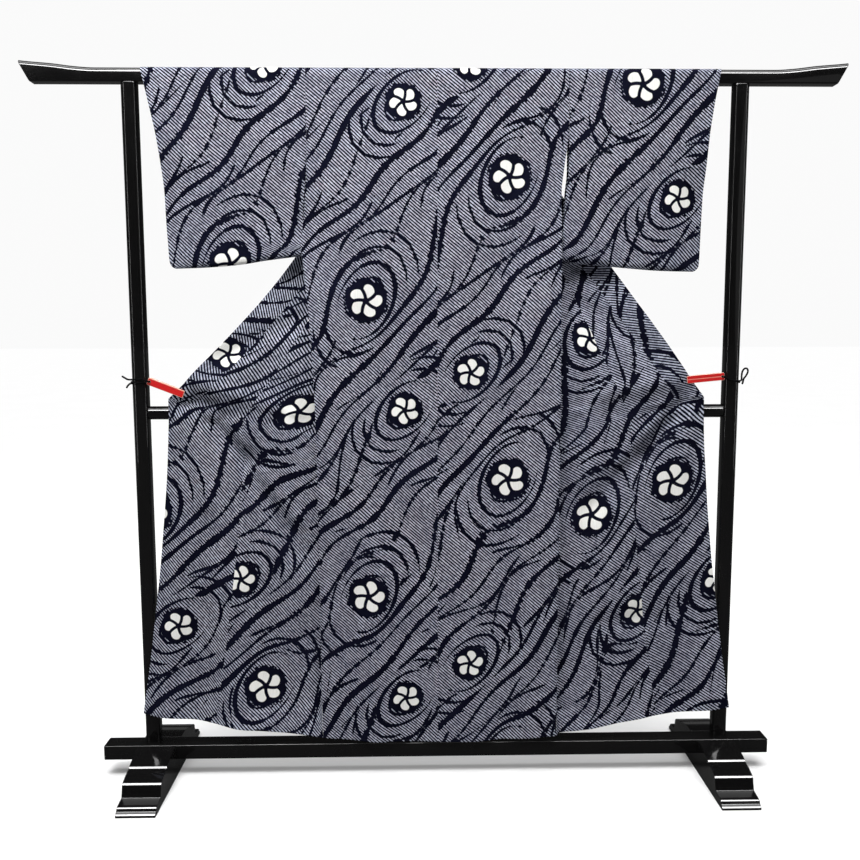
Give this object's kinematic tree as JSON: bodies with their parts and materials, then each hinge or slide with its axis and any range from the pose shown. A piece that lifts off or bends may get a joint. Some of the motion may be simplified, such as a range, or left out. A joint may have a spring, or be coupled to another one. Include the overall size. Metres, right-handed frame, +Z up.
{
  "type": "yukata on a kimono stand",
  "caption": "Cotton yukata in indigo tie-dye, hung by its sleeves over a black lacquered kimono stand and seen from its back, with the fronts spread by clips.",
  "frame": {"origin": "on the floor, midway between the feet, under the middle of the rail", "axes": "+X along the rail towards the garment's right side as its back is seen, +Y from the garment's back to its front, +Z up"},
  "size_m": [1.932, 0.43, 1.732],
  "materials": {
    "yukata_cotton": "matt plain-weave cotton, indigo tie-dyed with pale dashes",
    "black_lacquer": "black lacquer, satin to glossy",
    "red_clip": "smooth red plastic with pale edges",
    "clip_pin": "plain steel",
    "black_cord": "thin round cord"
  },
  "bodies": {
    "root": {"beam": "black_lacquer", "body_left": "yukata_cotton", "body_right": "yukata_cotton", "clip_left_back": "red_clip", "clip_left_front": "red_clip", "clip_left_pin": "clip_pin", "clip_right_back": "red_clip", "clip_right_front": "red_clip", "clip_right_pin": "clip_pin", "collar": "yukata_cotton", "crossbar": "black_lacquer", "foot_left": "black_lacquer", "foot_right": "black_lacquer", "okumi_left": "yukata_cotton", "okumi_right": "yukata_cotton", "post_left": "black_lacquer", "post_right": "black_lacquer", "rail": "black_lacquer", "sleeve_left": "yukata_cotton", "sleeve_right": "yukata_cotton", "tie_left": "black_cord", "tie_right": "black_cord"}
  },
  "joints": []
}
